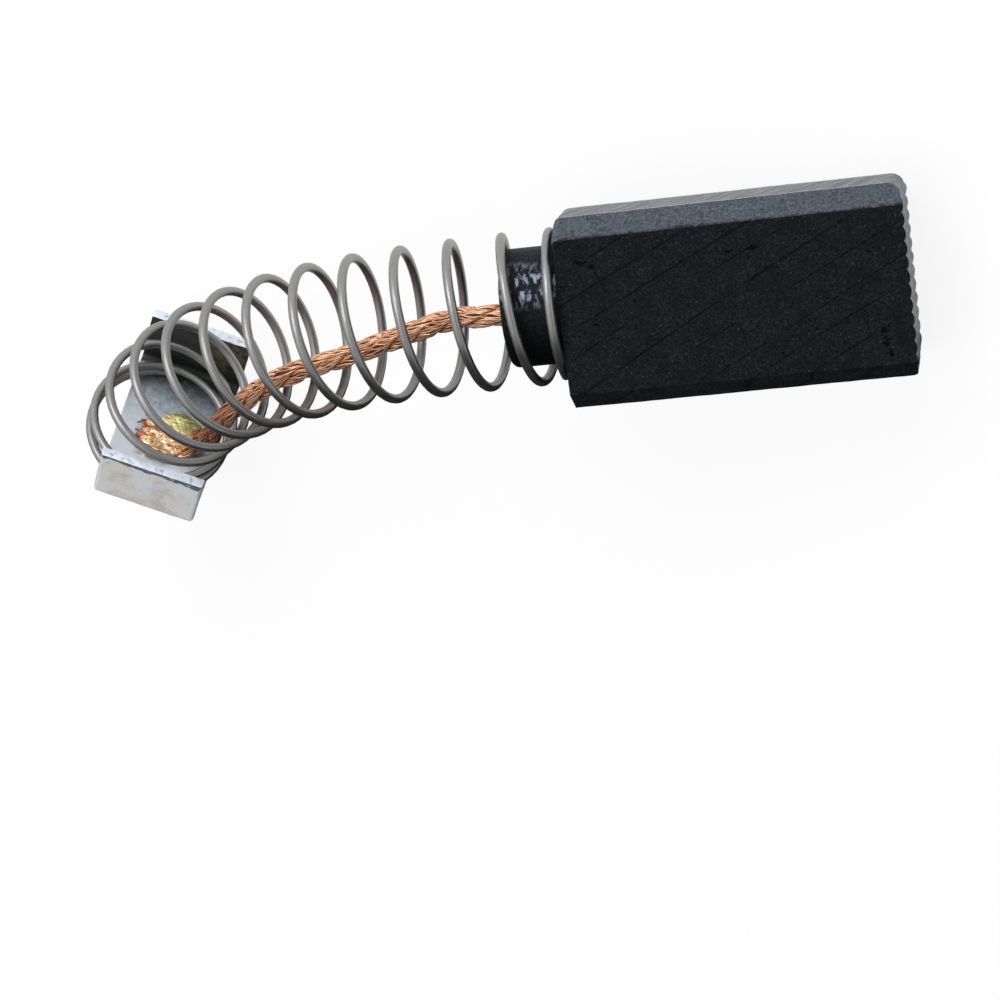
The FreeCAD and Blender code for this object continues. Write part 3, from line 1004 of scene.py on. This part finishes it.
class BRUSH_OT_lead(bpy.types.Operator):
    """Copper rope of twisted strands, from the bore to its pressed end"""
    bl_idname = "brush.lead"
    bl_label = "Shunt lead"

    def execute(self, context):
        l = brush().lead
        plate = terminal_place()
        stations = self.frames(smooth_line(self.route(l, plate), l.step))
        wires, own_tones = [], []
        for strand in range(l.strands):
            for wire in range(l.wires):
                wires.append(self.wire(l, stations, plate, strand, wire))
                own_tones.append(hashed("tone", strand, wire))
        rope = tubes("lead_wires", wires, l.wire, resolution=1)
        self.paint(rope.data, wires, own_tones)
        coat(rope, bare_copper())
        # Dark tubes of painted shade fill the strands between the wires.
        shade_cores = [self.core(l, stations, plate, strand) for strand in range(l.strands)]
        core = tubes("lead_shade_cores", shade_cores, l.core, resolution=1)
        coat(core, dark_gaps())
        for piece in (rope, core):
            finish_piece(piece, lie_down(), "copper_rope", "shunt_lead")
        return {"FINISHED"}

    def route(self, l, plate):
        """Control points of the rope's middle line, from the bottom of the bore to the end of the pad."""
        b = brush().block
        axis = spring_axis()
        mouth = -b.length - b.spigot_length
        points = [Vector((x, 0, 0)) for x in (mouth + l.in_bore, mouth, mouth - l.straight)]
        for share, inward_way, side_way in LEAD_ROUTE:
            point, along, inward, side = station(axis, share)
            points.append(point + (inward * inward_way + side * side_way) * MM)
        rest = brush().terminal.sheet + l.filler
        for up, side, out in LANDING:
            points.append(plate @ Vector((l.pad_up + up * MM, l.pad_side + side * MM, rest + out * MM)))
        return points

    def frames(self, line):
        """Length, point and two directions across the line, carried along without twist."""
        found = []
        normal = Vector((0, 0, 1))
        gone = 0.0
        for i, point in enumerate(line):
            ahead = (line[min(i + 1, len(line) - 1)] - line[max(i - 1, 0)]).normalized()
            normal = (normal - ahead * normal.dot(ahead)).normalized()
            if i:
                gone += (point - line[i - 1]).length
            found.append((gone, point, normal.copy(), ahead.cross(normal)))
        return found

    def from_end(self, stations, i, start, end):
        """How far the rope has gone between two distances from its end, in mm."""
        whole = stations[-1][0]
        return smooth(stations[i][0], whole - start * MM, whole - end * MM)

    def in_rope(self, l, stations, i, strand, deep, wide):
        """A place in a strand, given across it, as an offset from the rope's middle."""
        gone, point, normal, across = stations[i]
        loose = self.from_end(stations, i, 9, 5)
        turn = 2 * math.pi * (strand / l.strands - gone / l.lay)
        turn += (0.3 + 0.4 * loose) * uneven(gone / (3.1 * MM), strand * 7.7, 0.5)
        outward = normal * math.cos(turn) + across * math.sin(turn)
        around = across * math.cos(turn) - normal * math.sin(turn)
        off = outward * ((l.diameter - l.strand_deep) / 2 + deep) + around * wide
        limit = (l.diameter - l.wire) / 2
        return off * min(1.0, limit / off.length) if off.length > 0 else off

    def flatten(self, l, stations, plate, i, off):
        """Spreads what lies off the middle line over the plate, more and more towards the pad."""
        up, out = plate.col[0].to_3d(), plate.col[2].to_3d()
        pressed = self.from_end(stations, i, 4.9, 2.9)
        wider = mix(1.0, l.pad_width / l.diameter, pressed)
        thinner = mix(1.0, l.pad_thickness / l.diameter * 0.55, pressed)
        return off + up * off.dot(up) * (wider - 1) + out * off.dot(out) * (thinner - 1)

    def wire(self, l, stations, plate, strand, wire):
        """Points of one wire; most are cut short and some stray, for the frayed end."""
        last = len(stations) - 1 - round(hashed("end", strand, wire) * 5)
        if hashed("cut", strand, wire) < 0.7:
            last -= 7
        stray = 0.08 * MM if hashed("stray", strand, wire) < 0.2 else 0.0
        deep, wide = (l.strand_deep - l.wire) / 2, (l.strand_wide - l.wire) / 2
        points = []
        for i in range(last + 1):
            gone = stations[i][0]
            where = Vector((gone / (0.9 * MM), strand * 3.3, wire * 1.9))
            turn = 2 * math.pi * (wire / l.wires + gone / l.wire_lay) + 0.55 * noise.noise(where)
            share = 1 + 0.2 * noise.noise(where * 1.7)
            off = self.in_rope(l, stations, i, strand, deep * share * math.cos(turn),
                               wide * share * math.sin(turn))
            off *= 1 + stray / l.diameter * 2 * max(0.0, uneven(gone / (2.0 * MM), strand, wire * 2.7))
            points.append(stations[i][1] + self.flatten(l, stations, plate, i, off))
        return points

    def core(self, l, stations, plate, strand):
        """Points and radii of the dark tube of painted shade inside a strand between its wires, which ends
        before them.
        """
        points = []
        for i in range(len(stations) - 6):
            off = self.flatten(l, stations, plate, i, self.in_rope(l, stations, i, strand, 0.0, 0.0))
            points.append((*(stations[i][1] + off), mix(1.0, 0.45, self.from_end(stations, i, 4.6, 3.6))))
        return points

    def paint(self, mesh, wires, own_tones):
        """A tone of its own for each wire, and how much darker and redder each point is: near the plate and
        at the tip.
        """
        sides = len(mesh.vertices) // sum(len(points) for points in wires)
        whole = max(len(points) for points in wires)
        values, darker_red_shares = [], []
        for points, tone in zip(wires, own_tones):
            for i in range(len(points)):
                near = 0.75 * smooth(i / whole, 0.62, 0.84) * (1 - smooth(i / whole, 0.87, 0.9))
                tip = smooth(i, len(points) - 5, len(points) - 1)
                values += [tone] * sides
                darker_red_shares += [max(near, tip)] * sides
        for name, numbers in (("tone", values), ("darker_red", darker_red_shares)):
            mesh.attributes.new(name, "FLOAT", "POINT").data.foreach_set("value", numbers)


class BRUSH_OT_filler(bpy.types.Operator):
    """Filler that fixes the pressed end of the lead"""
    bl_idname = "brush.filler"
    bl_label = "Filler"

    def execute(self, context):
        l = brush().lead
        rest = brush().terminal.sheet
        thick = l.pad_thickness + l.filler
        pool = self.lump("filler_pool", (l.pad_width - 0.2 * MM, l.pad_length - 0.9 * MM, 2 * l.filler),
                         (l.pad_up, l.pad_side - 0.3 * MM, rest + l.filler / 2), 0.0, 0.05)
        skin = self.lump("pad_skin", (l.pad_width, l.pad_length + 0.05 * MM, thick),
                         (l.pad_up, l.pad_side - 0.05 * MM, rest + thick / 2), 0.11, 0.08, taper=0.12)
        spot = self.lump("filler_spot", (2.0 * MM, 2.85 * MM, 1.04 * MM),
                         (0.26 * MM, -0.74 * MM, rest + 0.42 * MM), 0.03, 0.05)
        brass, place = solid_filler(), lie_down() @ terminal_place()
        for piece, material, slot, nodes in ((pool, brass, "filler", ["braze_filler"]),
                                             (skin, pressed_copper(), "copper_rope", []),
                                             (spot, brass, "filler", [])):
            coat(piece, material)
            finish_piece(piece, place, slot, *nodes)
        return {"FINISHED"}

    def lump(self, name, extent, middle, ridged, crinkled, taper=0.0):
        """A lump pressed flat on the plate; ridges run along it, and both depths are in millimetres."""
        clear_selection()
        bpy.ops.mesh.primitive_uv_sphere_add(segments=128, ring_count=64, radius=1.0)
        piece = added(name)
        seed = len(name) * 3.7
        for vertex in piece.data.vertices:
            x, y, z = vertex.co
            wander = 1 + 0.2 * uneven(1.6 * x, 1.6 * y, seed) + 0.1 * uneven(6 * x, 6 * y, seed)
            top = math.copysign(abs(z) ** 0.45, z)
            place = Vector((x * wander * (1 + taper * y), y * wander, top))
            place = Vector([place[k] * extent[k] / 2 + middle[k] for k in range(3)])
            if z > -0.2:
                at = place / MM
                place.z += ridged * MM * uneven(at.x / 0.24, at.y / 1.1, seed)
                place.z += crinkled * MM * uneven(at.x / 0.34, at.y / 0.4, seed)
                place.z += crinkled * MM * 0.5 * uneven(at.x / 0.12, at.y / 0.14, seed)
            place.z = max(place.z, brush().terminal.sheet + 0.01 * MM)
            vertex.co = place
        return piece


class BRUSH_OT_terminal(bpy.types.Operator):
    """Terminal folded from one strip of plated sheet"""
    bl_idname = "brush.terminal"
    bl_label = "Terminal"

    def execute(self, context):
        t = brush().terminal
        piece = self.fold(t)
        self.thicken(piece, t)
        self.wear(piece, t)
        finish_piece(piece, lie_down() @ terminal_place(), "plated_sheet", "terminal_cap", smooth_angle=35)
        return {"FINISHED"}

    def fold(self, t):
        """The strip's outer side, folded up at both ends and cut finely enough to be dented."""
        clear_selection()
        bpy.ops.mesh.primitive_plane_add(size=1)
        piece = added("terminal_sheet")
        edit_all()
        bpy.ops.transform.resize(value=(t.height, t.width, 1))
        end = t.height / 2 - TINY
        for side in (-1, 1):
            pick_edges(piece, lambda p, q: side * p.x > end and side * q.x > end and p.z + q.z < TINY)
            draw_out(0, 0, t.flange)
        pick_edges(piece, lambda p, q: p.z + q.z < TINY and abs(p.x + q.x) > 2 * end)
        bpy.ops.mesh.bevel(offset=t.fold + t.sheet, segments=8, affect="EDGES")
        pick_edges(piece, lambda p, q: abs(p.y - q.y) > t.width / 2)
        bpy.ops.mesh.subdivide(number_cuts=47)
        pick_edges(piece, lambda p, q: abs(p.y - q.y) < 1e-7 and (p - q).length > 1 * MM)
        bpy.ops.mesh.subdivide(number_cuts=23)
        face_outwards(inside=True)
        middle = min(piece.data.polygons, key=lambda face: face.center.length)
        if middle.normal.z < 0:
            piece.data.flip_normals()
        return piece

    def thicken(self, piece, t):
        """Sheet thickness towards the inner side; the outer side's long edges are rounded by the shears."""
        coat(piece, inner_zinc(), sheared_zinc(), zinc_sheet())
        modify(piece, ("SOLIDIFY", {"thickness": t.sheet, "offset": 1.0, "use_even_offset": True,
                                    "material_offset": 2, "material_offset_rim": 1}))
        radius = t.fold + t.sheet
        bend = Vector((t.height / 2 - radius, radius))

        def outside(co):
            x, z = abs(co.x), co.z
            if x > bend.x and z < bend.y:
                return abs((Vector((x, z)) - bend).length - radius) < 0.03 * MM
            return z < TINY or x > t.height / 2 - TINY

        side = t.width / 2 - TINY
        pick_edges(piece, lambda p, q: min(abs(p.y), abs(q.y)) > side and outside(p) and outside(q))
        bpy.ops.mesh.bevel(offset=0.26 * MM, segments=4, affect="EDGES")
        leave_edit()
        modify(piece, rounding(0.05 * MM, 40))

    def wear(self, piece, t):
        """Ragged rims, and faces that aren't quite flat."""
        for vertex in piece.data.vertices:
            co = vertex.co
            near_rim = smooth(co.z, t.flange - 0.25 * MM, t.flange)
            ragged = noise.noise(Vector((co.x, co.y, 0)) / (0.5 * MM)) + 0.6 * noise.noise(co / (0.17 * MM))
            co.z -= near_rim * 0.07 * MM * abs(ragged)
        modify(piece, dents("Dents", 1.6, 0.06))


def show_white(tree, plain, kind, output, share=1.0):
    """White to the camera and to gloss, in place of a share of what a surface or the world is by itself."""
    rays = put(tree, "LightPath", {})
    seen = rays["Is Camera Ray"].most(rays["Is Glossy Ray"]).most(rays["Is Transmission Ray"])
    white = put(tree, kind, {"Color": WHITE, "Strength": 1.0})[0]
    both = put(tree, "MixShader", {0: seen * share, 1: Value(plain.outputs[0]), 2: white})[0]
    connect(tree.nodes[output], {"Surface": both})


class BRUSH_OT_stage(bpy.types.Operator):
    """Pale floor, soft light and the camera above the part"""
    bl_idname = "brush.stage"
    bl_label = "Stage"

    def execute(self, context):
        self.camera()
        self.floor()
        self.world()
        self.lights()
        self.cards()
        return {"FINISHED"}

    def camera(self):
        """The camera that was fitted to the photograph, in the block's frame."""
        place = Vector((7.438, 29.217, 175.204)) * MM
        ahead = Vector((-0.1787, -0.2197, -0.9591))
        up = Vector((0.0899, 0.967, -0.2382))
        data = bpy.data.cameras.new("Camera")
        data.lens = 112.13
        data.sensor_width = 36.0
        data.clip_start = 0.01
        camera = linked("Camera", data)
        back = -ahead.normalized()
        right = up.cross(back).normalized()
        turned = turn_to(right, back.cross(right), back)
        turned.translation = place
        camera.matrix_world = lie_down() @ turned
        bpy.context.scene.camera = camera

    def floor(self):
        clear_selection()
        bpy.ops.mesh.primitive_plane_add(size=6.0, location=(0, 0, CAD_BOX[0][2] - 0.02 * MM))
        floor = added("floor")
        material = surface(new_material("Pale floor")[0], brush().finish.floor, 0.9, Specular_IOR_Level=0.1)
        tree = material.node_tree
        show_white(tree, tree.nodes["Principled BSDF"], "Emission", "Material Output", 0.88)
        coat(floor, material)

    def world(self):
        world = bpy.data.worlds.new("Studio")
        world.use_nodes = True
        bpy.context.scene.world = world
        soft = world.node_tree.nodes["Background"]
        connect(soft, {"Color": WHITE, "Strength": 0.2})
        show_white(world.node_tree, soft, "Background", "World Output")

    def lights(self):
        """Soft boxes: name, place and width in mm, level on a facing white, and seen in gloss or not."""
        middle = Vector((-22, 0, 4)) * MM
        boxes = [
            ("Key box", (10, 240, 160), 200, 0.55, False),
            ("Bright box", (-69, 161, 202), 120, 0.35, True),
            ("Front box", (-60, -60, 300), 240, 0.75, False),
        ]
        for name, place, width, level, glossy in boxes:
            data = bpy.data.lights.new(name, "AREA")
            data.shape = "SQUARE"
            data.size = width * MM
            lamp = linked(name, data)
            lamp.location = Vector(place) * MM
            way = middle - lamp.location
            data.energy = level * math.pi ** 2 * way.length ** 2
            lamp.rotation_euler = way.to_track_quat("-Z", "Y").to_euler()
            lamp.visible_glossy = glossy

    def cards(self):
        """Dark cards that only gloss sees: below the view, on the floor there, and high on the right."""
        cards = [
            ("card_below", (600, 1, 250), (-30, -170, 122)),
            ("card_floor", (600, 166, 1), (-30, -87, CAD_BOX[0][2] / MM - 0.4)),
            ("card_high", (150, 300, 1), (175, 30, 250)),
        ]
        dark = surface(new_material("Dark card")[0], (0.02, 0.02, 0.02), 0.9)
        for name, extent, place in cards:
            clear_selection()
            bpy.ops.mesh.primitive_cube_add(size=1.0)
            card = added(name)
            edit_all()
            bpy.ops.transform.resize(value=Vector(extent) * MM)
            bpy.ops.transform.translate(value=Vector(place) * MM)
            leave_edit()
            coat(card, dark)
            for ray in ("camera", "diffuse", "transmission", "volume_scatter", "shadow"):
                setattr(card, "visible_" + ray, False)


class BRUSH_PT_panel(bpy.types.Panel):
    """Pieces of the carbon brush"""
    bl_label = "Carbon brush"
    bl_idname = "BRUSH_PT_panel"
    bl_space_type = "VIEW_3D"
    bl_region_type = "UI"
    bl_category = "Carbon brush"

    def draw(self, context):
        settings = context.scene.carbon_brush
        for label in ("block", "spring", "lead", "terminal", "finish"):
            box = self.layout.box()
            box.label(text=label.title())
            sizes = getattr(settings, label)
            for key in sizes.__annotations__:
                box.prop(sizes, key, text=key.replace("_", " ").capitalize())
        for operator in OPERATORS:
            self.layout.operator(operator.bl_idname)


GROUPS = (BlockSizes, SpringSizes, LeadSizes, TerminalSizes, Finishes, Brush)
OPERATORS = (BRUSH_OT_block, BRUSH_OT_plug, BRUSH_OT_spring, BRUSH_OT_lead, BRUSH_OT_filler,
             BRUSH_OT_terminal, BRUSH_OT_stage)


def register():
    for item in (*GROUPS, *OPERATORS, BRUSH_PT_panel):
        bpy.utils.register_class(item)
    bpy.types.Scene.carbon_brush = PointerProperty(type=Brush)


def unregister():
    del bpy.types.Scene.carbon_brush
    for item in (BRUSH_PT_panel, *reversed(OPERATORS), *reversed(GROUPS)):
        bpy.utils.unregister_class(item)


def main():
    register()
    for make in (grain_group, marks_group, smudge_group):
        make()
    bpy.ops.brush.block()
    bpy.ops.brush.plug()
    bpy.ops.brush.spring()
    bpy.ops.brush.lead()
    bpy.ops.brush.filler()
    bpy.ops.brush.terminal()
    bpy.ops.brush.stage()
    bpy.context.scene.view_settings.view_transform = "Standard"


if __name__ == "__main__":
    main()
